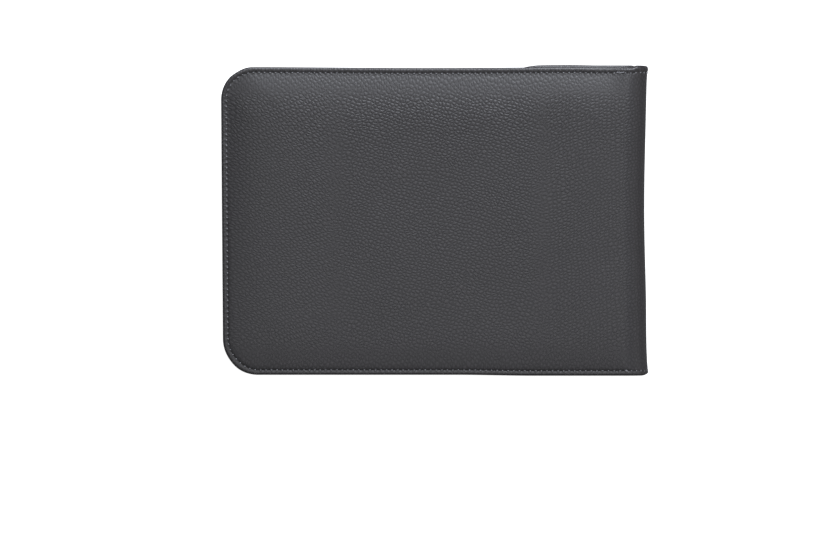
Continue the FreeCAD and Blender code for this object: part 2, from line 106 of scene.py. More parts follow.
COVER_END = (0.0, 0.08, 0.22, 0.45, 0.8)  # the cover's closest columns, next to the middle of the spine

# Paths with square corners turn into paths with round ones between these two insets.
SQUARE_INSET, RING_INSET = 14.0, 8.0
SQUARE_REACH = 5.0  # how much of both sides of a square corner its columns take up

# The stitches.
PITCH = 1.83  # distance between the seam's holes
STITCH = 0.85  # visible length of a seam stitch
SEAM_SLANT = 16  # degrees
THREAD_R = 0.2
BARTACK_U, KNOT_U = 61.4, 63.3  # where the thread is locked near the spine, at the upper and lower edge

# The lining and the pockets.
SHEET_STEP, SHEET_CORNER_STEPS = 1.1, 12
MERGE = 0.004  # points this close are one
LINING_EDGE = 0.95  # inset of the lining
LINING_END = (0.0, 0.1, 0.3, 0.6, 1.0)  # the lining's closest columns, next to the middle of the spine
LINING_MERGE = 0.002
WALL_RUN = 2.6  # width of the soft wall between a pocket's flange and its plate
FLANGE_INSET = 0.5  # inset of the pockets
PANEL = 0.5  # thickness of the slip pocket's and the passport pocket's leather
LEATHER_THIN = 0.45  # thickness of the card pockets' leather
PASSPORT_FLANGE = INSIDE + PANEL
SLIP_FLANGE = INSIDE + PANEL
CARD_FLANGE = SLIP_FLANGE + LEATHER_THIN
CARD_BAND = 3.0  # width of the flange that is sewn down
MOUTH_SEAM = 2.5  # distance of the stitch line from a pocket's mouth
MOUTH_STEPS = (0.0, 0.05, 0.14, 0.28, 0.5, 0.9, 1.4, 1.9, 2.2, 2.5, 2.8, 3.2, 3.8, 4.6)
AFTER_MOUTH = 5.6  # distance from the mouth at which even steps begin
PLATE_SAG, STRIP_SAG = 0.1, 0.12  # share of a pocket's height by which its middle hangs
NOTCH = 10.0  # depth of the thumb notch
BACKING_INSET = 4.0  # inset of the passport pocket's cloth


# ---------------------------------------------------------------- small mathematics


def ease(t):
    """Smooth step from 0 to 1."""
    t = np.clip(t, 0, 1)
    return t * t * (3 - 2 * t)


def bell(t):
    """1 at 0, smoothly down to 0 at -1 and 1."""
    return np.clip(1 - t * t, 0, None) ** 2


def lerp(a, b, t):
    return a + (b - a) * t


def corner_radius(inset, outer):
    """Radius of a corner inside the edge: parallel to it at first, and then shrinking more slowly."""
    return outer - CORNER_EASE * (1 - np.exp(-inset / CORNER_EASE))


def inset_of(u, y):
    """How far inside the free edges a point lies, along the same rounded outlines that Columns draws."""
    from_side, from_long = u + HALF_X, HALF_Y - np.abs(y)
    outer = np.where(y > 0, CORNER_HIGH, CORNER_LOW)
    low, high = np.zeros_like(u), np.minimum(from_side, from_long)
    for _ in range(24):
        middle = (low + high) / 2
        radius = corner_radius(middle, outer)
        a, b = radius - from_side + middle, radius - from_long + middle
        inside = (a <= 0) | (b <= 0) | (np.hypot(a, b) <= radius)
        low, high = np.where(inside, middle, low), np.where(inside, high, middle)
    return low


# ---------------------------------------------------------------- the fold


def hand_cut(u, y, rear):
    """The small ways in which the real outline leaves the drawn one.

    Along the upper long edge the covers bow in a little and flare at the spine, and the front cover is
    shifted up past the rear one. The lower edge steps in, and the free edge leans.
    """
    near_high, near_low, near_free = ease((y - 15) / 30), ease((-y - 15) / 30), ease((-u - 30) / 40)
    rim = 1 - ease((HALF_Y - y) / 2.6)
    bow = 0.12 - 0.32 * bell((u + 2) / 60) - 0.2 * ease((u - 45) / 10)
    flare = 0.75 * rim * ease((u - 65) / 3)
    if not rear:
        shifted = 1 - (1 - np.clip((u - FRONT_SHIFT_U) / 8, 0, 1)) ** 2.5
        flare = np.maximum(flare, FRONT_SHIFT * shifted * (1 - ease((u - 65.5) / 4)))
    step = 0.2 - 0.3 * ease((u - 8) / 25) + 0.5 * ease((u - 70) / 5)
    seam_high = -0.2 * bell((HALF_Y - y - SEAM) / SEAM)
    seam_low = -0.25 * bell((HALF_Y + y - SEAM) / 3.5)
    lean = 0.25 - 0.0076 * y
    return u + near_free * lean, y + near_high * (flare + bow + seam_high) + near_low * (step + seam_low)


def waist(x, y):
    """The spine bows in along its length and flares at its two stiff ends."""
    from_end = np.clip(HALF_Y - np.abs(y) - BEAD, 0, None)
    bow = 0.08 - 0.6 * bell((y - 7) / 38) + 0.8 * np.exp(-from_end / 4.5)
    return bow * ease((x - 52) / (HALF_X - 52))


def fold(u, y, depth, rear):
    """Pattern points to places in the row frame, in millimetres, as an array of rows."""
    u, y = hand_cut(u, y, rear)
    angle = np.clip(u - BEND_X, 0, None) / FOLD_R
    x = np.minimum(u, BEND_X) + (FOLD_R - depth) * np.sin(angle)
    z = FOLD_R - (FOLD_R - depth) * np.cos(angle)
    x = x + waist(x, y)
    return np.column_stack([x, y, THICK - z if rear else z])


def bend_with_spine(piece, rear):
    """Bakes the piece's placement into its mesh. fold() has already bent it round the spine."""
    if rear:
        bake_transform(piece)
    else:
        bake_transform(piece)


# ---------------------------------------------------------------- patterns


class Columns:
    """Places along a half's three free edges, from the end of one long edge to the end of the other."""

    def __init__(self, end, step, corner_steps, end_steps):
        straight = end + HALF_X - CORNER_HIGH
        count = int(straight / step)
        even = np.linspace(end_steps[-1], straight, count)
        self.end = end
        self.run = np.concatenate([np.array(end_steps[:-1]), even]) / straight
        self.turn = np.linspace(0, 1, corner_steps + 1)
        side = 2 * HALF_Y - CORNER_HIGH - CORNER_LOW
        self.side = np.linspace(0, 1, int(side / step) + 1)

    def doubled(self):
        """The same columns with one more between each two."""
        fine = copy.copy(self)
        for name in ("run", "turn", "side"):
            values = getattr(self, name)
            middles = (values[1:] + values[:-1]) / 2
            setattr(fine, name, np.sort(np.concatenate([values, middles])))
        return fine

    @property
    def across(self):
        """Steps from the end to the middle of a corner."""
        return len(self.run) - 1 + (len(self.turn) - 1) // 2

    @property
    def down(self):
        """Steps along the side, from the middle of one corner to the middle of the other."""
        return len(self.side) - 1 + len(self.turn) - 1

    def join(self, run_to, high, side_from, side_to, low, run_y, left):
        """One path from its five stretches."""
        level = np.full(len(self.run), run_y)
        top = np.column_stack([lerp(self.end, run_to[0], self.run), level])
        side = np.column_stack([np.full(len(self.side), left), lerp(side_from, side_to, self.side)])
        bottom = np.column_stack([lerp(self.end, run_to[1], self.run[::-1]), -level])
        return np.concatenate([top[:-1], high[:-1], side[:-1], low[:-1], bottom])

    def at(self, inset):
        """The path at an inset from the edge, with round corners."""
        left, top = -HALF_X + inset, HALF_Y - inset
        high, low = corner_radius(inset, CORNER_HIGH), corner_radius(inset, CORNER_LOW)
        s, c = np.sin(self.turn * math.pi / 2), np.cos(self.turn * math.pi / 2)
        arc_high = np.column_stack([left + high * (1 - s), top - high * (1 - c)])
        arc_low = np.column_stack([left + low * (1 - c), -top + low * (1 - s)])
        run_to = (left + high, left + low)
        return self.join(run_to, arc_high, top - high, -top + low, arc_low, top, left)

    def square(self, inset, reach):
        """The path with square corners. A corner's columns take up a reach on both sides of it."""
        left, top = -HALF_X + inset, HALF_Y - inset
        before = np.clip(1 - 2 * self.turn, 0, 1) * reach
        after = np.clip(2 * self.turn - 1, 0, 1) * reach
        arc_high = np.column_stack([left + before, top - after])
        arc_low = np.column_stack([left + after, -top + before])
        run_to = (left + reach, left + reach)
        return self.join(run_to, arc_high, top - reach, -top + reach, arc_low, top, left)


class Pattern:
    """Points of a piece in its flat pattern, and the faces on them."""

    def __init__(self):
        self.rows, self.faces, self.size = [], [], 0

    def add(self, points, depth, unrolled=None):
        """A row of points. unrolled is where they lie when a turned edge is rolled out flat."""
        flat = points if unrolled is None else unrolled
        depth = np.broadcast_to(depth, len(points))
        self.rows.append(np.column_stack([points, depth, flat]))
        self.size += len(points)
        return np.arange(self.size - len(points), self.size)

    def bridge(self, a, b):
        """Joins two rows with the same number of points."""
        self.faces += [(a[i], a[i + 1], b[i + 1], b[i]) for i in range(len(a) - 1)]

    def bridge_all(self, rows):
        """Joins each row to the next."""
        for a, b in zip(rows, rows[1:]):
            self.bridge(a, b)

    def bridge_halved(self, fine, coarse):
        """Joins a row to one with half as many steps."""
        for i in range(len(coarse) - 1):
            a, b, c = fine[2 * i : 2 * i + 3]
            d, e = coarse[i], coarse[i + 1]
            self.faces += [(a, b, d), (b, c, e), (b, e, d)]

    def fill(self, edge, columns, depth_of):
        """The grid inside a path with square corners. Returns its points on the end line."""
        across, down = columns.across, columns.down
        points = np.concatenate(self.rows)[edge]
        grid = np.empty((across + 1, down + 1), int)
        grid[:, 0] = edge[: across + 1]
        grid[:, down] = edge[across + down :][::-1]
        grid[across, :] = edge[across : across + down + 1]
        us, ys = points[: across + 1, 0], points[across : across + down + 1, 1]
        for i in range(across):
            line = np.column_stack([np.full(down - 1, us[i]), ys[1:-1]])
            grid[i, 1:-1] = self.add(line, depth_of(line))
        self.bridge_all(grid)
        return grid[0, 1:-1]

    def points(self):
        return np.concatenate(self.rows)


def grain_place(u, y, rear):
    """Where the grain is read: stretched towards the edges it is pulled over, unbroken at the spine."""
    reach = 7.0
    pull_high = -0.42 * reach * np.exp(-(HALF_Y - y) / reach)
    pull_low = 0.3 * reach * np.exp(-(HALF_Y + y) / reach)
    pull_side = 0.25 * reach * np.exp(-(u + HALF_X) / reach)
    along = u + pull_side
    return 2 * SPINE_U - along if rear else along, y + pull_high + pull_low


def along_edge(y):
    """1 next to the long edges, where the leather is pulled over the padding's side."""
    return ease((11 - (HALF_Y - np.abs(y))) / 6)


def grain_masks(u, y):
    """Where the grain is drawn out: next to the long edges, the free edge and the spine."""
    long_edge = along_edge(y)
    free_edge = ease((-u - 26) / 14) * (1 - long_edge)
    spine = ease((u - 30) / 12) * (1 - ease((u - 66) / 8)) * (1 - long_edge)
    return np.column_stack([long_edge, free_edge, spine])


def grain_relief(u, y):
    """How high the grain stands: it is flatter towards every edge, and most of all the lower one."""
    down = 0.28 * ease((38 - y) / 22) + 0.21 * ease((10 - y) / 55)
    across = 0.31 * ease((-u - 32) / 30) + 0.28 * ease((u - 35) / 25)
    return (1 - down) * (1 - across) * (1 - 0.4 * along_edge(y))


def free_edge_painted_shade(u):
    """How much painted shade darkens the leather near the free edge, standing in for the shade on the
    padding's slope there.
    """
    return ease((-u - 42) / 26)


def make_object(name, pattern, rear, merge=0.0):
    """A closed, smooth mesh from a pattern. Its UV map is the grain's coordinates in millimetres."""
    data = pattern.points()
    places = fold(data[:, 0], data[:, 1], data[:, 2], rear) * MM
    grain = np.column_stack(grain_place(data[:, 3], data[:, 4], rear))
    mesh = bpy.data.meshes.new(name)
    mesh.from_pydata(places.tolist(), [], [tuple(int(i) for i in f) for f in pattern.faces])
    loops = np.empty(len(mesh.loops), np.int32)
    mesh.loops.foreach_get("vertex_index", loops)
    uv_map = mesh.uv_layers.new(name="grain")
    uv_map.data.foreach_set("uv", grain[loops].astype(np.float32).ravel())
    u, y = data[:, 0], data[:, 1]
    # The last attribute carries the painted shade near the free edge.
    for layer, kind, field, values in (
        ("drawn", "FLOAT_VECTOR", "vector", grain_masks(u, y)),
        ("relief", "FLOAT", "value", grain_relief(u, y)),
        ("free_edge_painted_shade", "FLOAT", "value", free_edge_painted_shade(u)),
    ):
        attribute = mesh.attributes.new(layer, kind, "POINT")
        attribute.data.foreach_set(field, values.astype(np.float32).ravel())
    work = bmesh.new()
    work.from_mesh(mesh)
    if merge:
        bmesh.ops.remove_doubles(work, verts=work.verts, dist=merge * MM)
    bmesh.ops.recalc_face_normals(work, faces=work.faces)
    work.to_mesh(mesh)
    work.free()
    mesh.shade_smooth()
    piece = bpy.data.objects.new(name, mesh)
    bpy.context.scene.collection.objects.link(piece)
    return piece


# ---------------------------------------------------------------- materials


class Nodes:
    """Short calls for building a material's nodes."""

    def __init__(self, name):
        self.material = bpy.data.materials.new(name)
        self.material.use_nodes = True
        self.tree = self.material.node_tree
        self.shader = self.tree.nodes["Principled BSDF"]

    def add(self, kind, **settings):
        node = self.tree.nodes.new(kind)
        for name, value in settings.items():
            setattr(node, name, value)
        return node

    def link(self, source, target):
        self.tree.links.new(source, target)

    def uv(self, layer):
        return self.add("ShaderNodeUVMap", uv_map=layer).outputs["UV"]

    def math(self, operation, a, b=0.0):
        node = self.add("ShaderNodeMath", operation=operation)
        for socket, value in zip(node.inputs, (a, b)):
            if isinstance(value, (int, float)):
                socket.default_value = value
            else:
                self.link(value, socket)
        return node.outputs[0]

    def noise(self, vector, scale, detail=3.0, colour=False):
        node = self.add("ShaderNodeTexNoise", noise_dimensions="2D")
        node.inputs["Scale"].default_value = scale
        node.inputs["Detail"].default_value = detail
        self.link(vector, node.inputs["Vector"])
        return node.outputs["Color" if colour else "Fac"]

    def voronoi(self, vector, scale, feature):
        node = self.add("ShaderNodeTexVoronoi", voronoi_dimensions="2D", feature=feature)
        node.inputs["Scale"].default_value = scale
        self.link(vector, node.inputs["Vector"])
        return node

    def wave(self, vector, scale, direction="X"):
        node = self.add("ShaderNodeTexWave", bands_direction=direction)
        node.inputs["Scale"].default_value = scale
        self.link(vector, node.inputs["Vector"])
        return node.outputs["Fac"]

    def remap(self, value, low, high, to_low, to_high, smooth=False):
        node = self.add("ShaderNodeMapRange", interpolation_type="SMOOTHSTEP" if smooth else "LINEAR")
        limits = {"From Min": low, "From Max": high, "To Min": to_low, "To Max": to_high}
        for name, number in limits.items():
            node.inputs[name].default_value = number
        self.link(value, node.inputs["Value"])
        return node.outputs["Result"]

    def blend(self, factor, a, b):
        """A number between a and b."""
        node = self.add("ShaderNodeMix", data_type="FLOAT")
        for socket, value in zip((node.inputs[0], node.inputs[2], node.inputs[3]), (factor, a, b)):
            self.link(value, socket)
        return node.outputs[0]

    def colours(self, factor, dark, light):
        node = self.add("ShaderNodeMix", data_type="RGBA")
        self.link(factor, node.inputs[0])
        node.inputs[6].default_value = (*dark, 1)
        node.inputs[7].default_value = (*light, 1)
        return node.outputs[2]

    def warped(self, vector, scale, amount):
        """The vector, pushed about by a noise."""
        push = self.add("ShaderNodeVectorMath", operation="MULTIPLY_ADD")
        self.link(self.noise(vector, scale, 2.0, colour=True), push.inputs[0])
        push.inputs[1].default_value = (amount, amount, 0)
        self.link(vector, push.inputs[2])
        return push.outputs[0]

    def laid(self, vector, degrees, length=1.0, width=1.0):
        """The vector, for a pattern stretched to a length along an angle and to a width across it."""
        node = self.add("ShaderNodeMapping", vector_type="TEXTURE")
        node.inputs["Rotation"].default_value = (0, 0, math.radians(degrees))
        node.inputs["Scale"].default_value = (length, width, 1)
        self.link(vector, node.inputs["Vector"])
        return node.outputs[0]

    def bump(self, height, distance):
        node = self.add("ShaderNodeBump")
        node.inputs["Distance"].default_value = distance
        node.inputs["Strength"].default_value = 1.0
        self.link(height, node.inputs["Height"])
        self.link(node.outputs[0], self.shader.inputs["Normal"])

    def finish(self, colour, roughness, **fixed):
        self.link(colour, self.shader.inputs["Base Color"])
        self.link(roughness, self.shader.inputs["Roughness"])
        for name, value in fixed.items():
            self.shader.inputs[name.replace("_", " ")].default_value = value
        return self.material


def pebbles(n, place, degrees, length, width):
    """Height of a layer of small round pebbles, drawn out along an angle, with creases between them."""
    turn = 28  # degrees between the angle and the rows that the pebbles lie in
    crown = 0.42  # how far in from its edge a pebble has its full height
    rows = n.laid(n.laid(place, degrees, length, width), turn)
    cell = n.voronoi(n.warped(rows, 0.3, 0.25), 1.0, "DISTANCE_TO_EDGE")
    cell.inputs["Randomness"].default_value = 0.7
    return n.remap(cell.outputs["Distance"], 0.0, crown, 0.0, 1.0, smooth=True)


# The pebbles' angle in degrees, their length and their width: in the middle of a cover, and then next to
# its long edges, its free edge and the spine.
EVEN_GRAIN = (-8, 1.36, 1.18)
DRAWN_GRAIN = ((-84, 1.3, 1.06), (26, 1.6, 1.04), (-40, 1.56, 1.04))


def make_leather(name, size, height, dark, light):
    """Pebbled leather: grain drawn out where it is stretched, creases darker and crowns lighter in colour,
    slightly polished crowns, and painted shade near the free edge. The crease and crown colours are partly
    the leather's own tone and partly painted shade in the creases and a painted highlight on the crowns.
    """
    n = Nodes(name)
    place = n.warped(n.uv("grain"), 0.05, 3.0)

    def layer(degrees, length, width):
        return pebbles(n, place, degrees, length * size, width * size)

    masks = n.add("ShaderNodeSeparateXYZ")
    n.link(n.add("ShaderNodeAttribute", attribute_name="drawn").outputs["Vector"], masks.inputs[0])
    relief = n.add("ShaderNodeAttribute", attribute_name="relief").outputs["Fac"]
    grain = layer(*EVEN_GRAIN)
    for mask, drawn in zip(masks.outputs, DRAWN_GRAIN):
        grain = n.blend(mask, grain, layer(*drawn))
    pores = n.noise(place, 3 / size, 2.0)
    standing = n.math("MULTIPLY", n.math("ADD", grain, n.math("MULTIPLY", pores, 0.2)), relief)
    n.bump(standing, height * MM)
    mottle = n.math("MULTIPLY", n.noise(place, 0.09, 4.0), 0.18)
    # Painted shade: the colour is darkened towards the free edge, where the padding's slope lies in shade.
    shade_mask = n.add("ShaderNodeAttribute", attribute_name="free_edge_painted_shade").outputs["Fac"]
    shade_darkening = n.math("MULTIPLY", shade_mask, 0.25)
    # Colour: darker in the creases and lighter on the crowns (partly own tone, partly painted shade and
    # painted highlight), a random mottle, less the painted shade near the free edge.
    tone = n.math("SUBTRACT", n.math("ADD", n.math("MULTIPLY", grain, 0.8), mottle), shade_darkening)
    roughness = n.remap(grain, 0, 1, 0.5, 0.46)
    return n.finish(n.colours(tone, dark, light), roughness, Specular_IOR_Level=0.65)


def make_twill(name, pitch, dark, light):
    """A fine diagonal weave."""
    n = Nodes(name)
    place = n.uv("grain")
    scale = 0.32 / pitch  # puts the bands about one pitch apart
    rib = n.wave(n.laid(place, 55), scale)
    yarn = n.wave(place, scale, "Y")
    weave = n.math("ADD", n.math("MULTIPLY", rib, 0.7), n.math("MULTIPLY", yarn, 0.3))
    n.bump(weave, 0.06 * MM)
    uneven = n.math("MULTIPLY", n.noise(place, 0.8, 3.0), 0.3)
    fleck = n.math("ADD", n.math("MULTIPLY", weave, 0.7), uneven)
    return n.finish(n.colours(fleck, dark, light), n.remap(weave, 0, 1, 0.9, 0.75), Sheen_Weight=0.25)


def make_thread(name, dark, light):
    """Twisted polyester thread. Its UV map runs along the thread, in millimetres."""
    n = Nodes(name)
    place = n.uv("grain")
    twist = n.wave(n.laid(place, 40), 1.2)
    n.bump(twist, 0.03 * MM)
    return n.finish(n.colours(twist, dark, light), n.remap(twist, 0, 1, 0.7, 0.5), Sheen_Weight=0.2)


def make_floor_material():
    """A plain pale studio floor."""
    n = Nodes("studio_floor")
    place = n.add("ShaderNodeTexCoord").outputs["Object"]
    tone = n.noise(place, 3.0, 2.0)
    colour = n.colours(tone, (0.48, 0.48, 0.48), (0.52, 0.52, 0.52))
    glow = {"Emission_Color": (1, 1, 1, 1), "Emission_Strength": 0.93, "Specular_IOR_Level": 0.1}
    return n.finish(colour, n.remap(tone, 0, 1, 0.85, 0.9), **glow)


# dark is the creases' colour and light the crowns': their difference is partly the leather's own tone and
# partly painted shade in the creases and a painted highlight on the crowns.
LEATHER = make_leather(
    "outer_leather", size=0.97, height=0.073, dark=(0.0072, 0.0064, 0.0072), light=(0.0228, 0.0204, 0.0226)
)
POCKET_LEATHER = make_leather(
    "pocket_leather", size=0.85, height=0.075, dark=(0.024, 0.0235, 0.025), light=(0.038, 0.0375, 0.040)
)
LINING = make_twill(
    "lining_cloth", pitch=0.45, dark=(0.014, 0.014, 0.016), light=(0.036, 0.036, 0.040)
)
POCKET_CLOTH = make_twill(
    "pocket_cloth", pitch=0.3, dark=(0.012, 0.012, 0.014), light=(0.030, 0.030, 0.033)
)
THREAD = make_thread("seam_thread", dark=(0.092, 0.092, 0.098), light=(0.19, 0.19, 0.203))


def dress(piece, material, slot, *nodes):
    """The piece's material, and the CAD nodes that it stands for, which are hidden. slot is not used."""
    piece.data.materials.append(material)
    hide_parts(*nodes)


# ---------------------------------------------------------------- covers


def cover_columns():
    """The columns that a cover and its seam share."""
    return Columns(SPINE_U, COARSE, CORNER_STEPS, COVER_END)


def seam_phase(columns):
    """Where each column lies along the seam, counted in stitches, with a hole at each whole number."""
    path = columns.at(SEAM)
    length = np.concatenate([[0], np.cumsum(np.hypot(*np.diff(path, axis=0).T))])
    return length / (length[-1] / round(length[-1] / PITCH))


def by_height(y, low, high):
    """A size that changes from the lower long edge to the upper one."""
    return lerp(low, high, ease((y + 45) / 90))


def round_spine(u):
    """Round the spine the turned edge is nearly level with the leather."""
    return ease((u - 57) / 13)


def rim_depth(u, y):
    """Depth of the turned edge's top."""
    return by_height(y, RIM_LOW, RIM_HIGH) * (1 - 0.85 * round_spine(u))


def seam_depth(u, y):
    """Depth of the valley that the seam lies in."""
    return rim_depth(u, y) + by_height(y, VALLEY_LOW, VALLEY_HIGH) * (1 - 0.5 * round_spine(u))


def swell_depth(points, phase=None):
    """Depth of the outer leather inside the turned edge: the seam's valley, then the padding's swell.

    With a phase, the leather is pulled in at the stitches' holes.
    """
    u, y = points[:, 0], points[:, 1]
    inset = inset_of(u, y)
    past = np.clip(inset - SEAM - by_height(y, 0.0, 0.35), 0, None)
    rim, seam = rim_depth(u, y), seam_depth(u, y)
    step = np.minimum(by_height(y, STEP_LOW, STEP_HIGH), seam / 2)
    soft = by_height(y, 0.05, 0.9)
    t = np.clip((np.hypot(past, soft) - soft) / PADDING_RUN, 0, 1)
    swell = (seam - step) * (1 - (1 - t) ** SWELL_POWER)
    fall = lerp(rim, seam, ease((inset - BEAD) / (SEAM - BEAD)))
    depth = fall - step * (1 - np.exp(-past / STEP_RUN)) - swell
    unevenness = 2 + np.sin(u / 9 + y / 14 + 0.6) + np.sin(y / 8 - u / 17)
    depth = depth + 0.022 * unevenness * ease((inset - 6) / 12)
    if phase is not None:
        pulled = 0.5 + 0.5 * np.cos(2 * math.pi * phase)
        depth = depth + 0.13 * pulled**2 * np.exp(-(((inset - SEAM) / 0.32) ** 2))
        depth = depth + 0.02 * pulled * np.exp(-(((inset - SEAM - 0.9) / 0.7) ** 2))
    return depth


def make_cover(rear):
    """One half of the outer leather, up to the middle of the spine, with its padding and board."""
    coarse = cover_columns()
    fine = coarse.doubled()
    phase = seam_phase(fine)
    pattern = Pattern()
    square = coarse.square(SQUARE_INSET, SQUARE_REACH)
    ring = coarse.at(RING_INSET)
    paths = [lerp(square, ring, t) for t in np.linspace(0, 1, 10)]
    paths += [coarse.at(inset) for inset in np.arange(RING_INSET - COARSE, 3.3, -COARSE)]
    rows = [pattern.add(path, swell_depth(path)) for path in paths]
    end_line = pattern.fill(rows[0], coarse, swell_depth)
    pattern.bridge_all(rows)
    fine_rows = []
    for inset in np.linspace(3.1, BEAD, 20):
        path = fine.at(inset)
        fine_rows.append(pattern.add(path, swell_depth(path, phase)))
    for angle in np.linspace(math.pi / 2, -math.pi / 2, 13)[1:]:
        inset = BEAD * (1 - math.cos(angle))
        unrolled = fine.at(BEAD * (1 - math.pi / 2 + angle))
        rim = rim_depth(unrolled[:, 0], unrolled[:, 1])
        depth = rim + (HEM_DEPTH - rim) / 2 * (1 - math.sin(angle))
        fine_rows.append(pattern.add(fine.at(inset), depth, unrolled))
    for inset, depth in ((HEM / 2, HEM_DEPTH), (HEM, HEM_DEPTH), (HEM, BACK)):
        fine_rows.append(pattern.add(fine.at(inset), depth, fine.at(-inset - BEAD)))
    pattern.bridge_halved(fine_rows[0], rows[-1])
    pattern.bridge_all(fine_rows)
    back = fine_rows[-1]
    strips = len(fine.run) - 1 + len(fine.turn) - 1
    pattern.faces += [(back[i], back[i + 1], back[-i - 2], back[-i - 1]) for i in range(strips)]
    pattern.faces.append(tuple(back[strips : len(back) - strips]))
    every = rows + fine_rows
    one_side, other_side = [row[-1] for row in every], [row[0] for row in reversed(every)]
    pattern.faces.append((*end_line, *one_side, *other_side))
    half = "rear" if rear else "front"
    cover = make_object(f"{half}_cover", pattern, rear)
    nodes = [f"{half}_{layer}" for layer in ("cover_leather", "padding", "board")]
    dress(cover, LEATHER, "outer_leather", *nodes, "spine_leather", "spine_interlining")
    bend_with_spine(cover, rear)


# ---------------------------------------------------------------- stitches


def add_stitches(pattern, places, tangents, surface, outward, length, slant, radius):
    """Short arched threads that dive into the leather at both ends.

    outward is -1 on the cover's outer face and 1 on its inner face.
    """
    sections, sides = 7, 8
    taper, lift, dive = 0.55, 0.06, 0.5
    normals = np.column_stack([-tangents[:, 1], tangents[:, 0]])
    along = tangents * math.cos(slant) + normals * math.sin(slant)
    across = np.column_stack([-along[:, 1], along[:, 0]])
    around = np.arange(sides) / sides * 2 * math.pi
    for k in range(len(places)):
        rings = []
        for i in range(sections):
            t = 2 * i / (sections - 1) - 1
            width = radius * math.sqrt(1 - taper * t * t)
            middle = places[k] + along[k] * t * length / 2
            points = middle + np.outer(np.cos(around) * width, across[k])
            depth = surface[k] + outward * (lift - dive * t * t + np.sin(around) * width)
            run = np.column_stack([np.full(sides, t * length / 2 + 3 * k), around * radius])
            rings.append(pattern.add(points, depth, run))
        pattern.bridge_all([np.append(ring, ring[0]) for ring in rings])
        pattern.faces += [tuple(rings[0]), tuple(rings[-1][::-1])]


def seam_stitches(pattern, surface_of, outward, rear):
    """The row of stitches along the seam, in step with the valley's holes."""
    fine = cover_columns().doubled()
    phase, path = seam_phase(fine), fine.at(SEAM)

    def along_seam(phases):
        return np.column_stack([np.interp(phases, phase, path[:, i]) for i in range(2)])

    middles = np.arange(0.5, phase[-1], 1.0)
    places = along_seam(middles)
    tangents = along_seam(middles + 0.1) - along_seam(middles - 0.1)
    tangents /= np.linalg.norm(tangents, axis=1)[:, None]
    slant = math.radians(SEAM_SLANT if rear else -SEAM_SLANT)
    add_stitches(pattern, places, tangents, surface_of(places), outward, STITCH, slant, THREAD_R)


def bartack(pattern, u, side, surface_of, outward):
    """Close, slanted stitches over the seam at the end of the pocket's mouth."""
    count, pitch = 4, 0.6
    shift, lift = 0.2, 0.12  # towards the edge, and up from the seam
    offsets = (np.arange(count) - (count - 1) / 2) * pitch
    places = np.column_stack([u + offsets, np.full(count, side * (HALF_Y - SEAM + shift))])
    tangents = np.tile([1.0, 0.0], (count, 1))
    surface = surface_of(places) + outward * lift
    add_stitches(pattern, places, tangents, surface, outward, 1.2, math.radians(30), THREAD_R * 0.9)


def knot(pattern, u, side, surface_of, outward):
    """The thread's tied-off end: short stitches crossed on one spot."""
    radius, lift = 0.26, 0.3
    place, tangent = np.array([[u, side * (HALF_Y - SEAM)]]), np.array([[1.0, 0.0]])
    surface = surface_of(place) + outward * lift
    for degrees in (20, 65, 110, 155):
        add_stitches(pattern, place, tangent, surface, outward, 1.0, math.radians(degrees), radius)


def outer_surface(places):
    """The bottom of the seam's valley. Round the spine the stitches are pulled in deeper."""
    u, y = places[:, 0], places[:, 1]
    return seam_depth(u, y) + 0.09 * round_spine(u)


def rear_inner_surface(places):
    """The lining over the spine, and the passport pocket's flange elsewhere."""
    return np.where(places[:, 0] > MOUTH, INSIDE, PASSPORT_FLANGE)


def front_inner_surface(places):
    """The lining over the spine, then the slip pocket's flange, then the card pockets' flange."""
    levels = [INSIDE, SLIP_FLANGE]
    return np.select([places[:, 0] > MOUTH, places[:, 0] > card_mouth(4)], levels, CARD_FLANGE)


def make_stitches(rear):
    """Both visible sides of a half's seam, and its bartacks."""
    half = "rear" if rear else "front"
    inner = rear_inner_surface if rear else front_inner_surface
    for side, surface_of, outward in (("outer", outer_surface, -1), ("inner", inner, 1)):
        pattern = Pattern()
        seam_stitches(pattern, surface_of, outward, rear)
        row = make_object(f"{half}_{side}_stitches", pattern, rear)
        nodes = [f"{half}_seam_{side}_thread"] + (["spine_seam_thread"] if side == "outer" else [])
        dress(row, THREAD, "thread", *nodes)
        bend_with_spine(row, rear)
    pattern = Pattern()
    bartack(pattern, BARTACK_U, 1, outer_surface, -1)
    knot(pattern, KNOT_U, -1, outer_surface, -1)
    tacks = make_object(f"{half}_bartack_stitches", pattern, rear)
    dress(tacks, THREAD, "thread", f"{half}_bartacks")
    bend_with_spine(tacks, rear)


# ---------------------------------------------------------------- pockets and lining


def card_node(number):
    return f"card_pocket_{number}_{'panel' if number == 1 else 'strip'}"


def card_mouth(number):
    """Where a card pocket's mouth lies along the pattern."""
    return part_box(card_node(number))[1].x / MM


def card_top(number):
    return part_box(card_node(number))[1].z / MM


def rounded(half_thickness, distance):
    """Half of a sheet's thickness near its edge, where it rounds off to nothing."""
    share = np.clip(distance / half_thickness, 0, 1)
    return half_thickness * np.sqrt(1 - (1 - share) ** 2)


def sheet_depths(inset, base, top, thickness, band, to_mouth, sag, to_edge):
    """Depths of a pocket sheet's two faces: a flat flange, a soft wall, and a plate that sags a little.

    inset is measured from the wallet's edge, and to_mouth and to_edge from the sheet's own edges.
    """
    rise = (top - thickness - base) * (1 - sag)
    middle = base + thickness / 2 + rise * ease((inset - band - 0.25) / WALL_RUN)
    lip = 0.1 * ease((5.5 - to_mouth) / 0.6)
    half = rounded(thickness / 2 + lip / 2, np.minimum(to_edge, to_mouth))
    groove = 0.1 * np.exp(-(((to_mouth - MOUTH_SEAM) / 0.35) ** 2))
    return middle + half - groove, middle - half


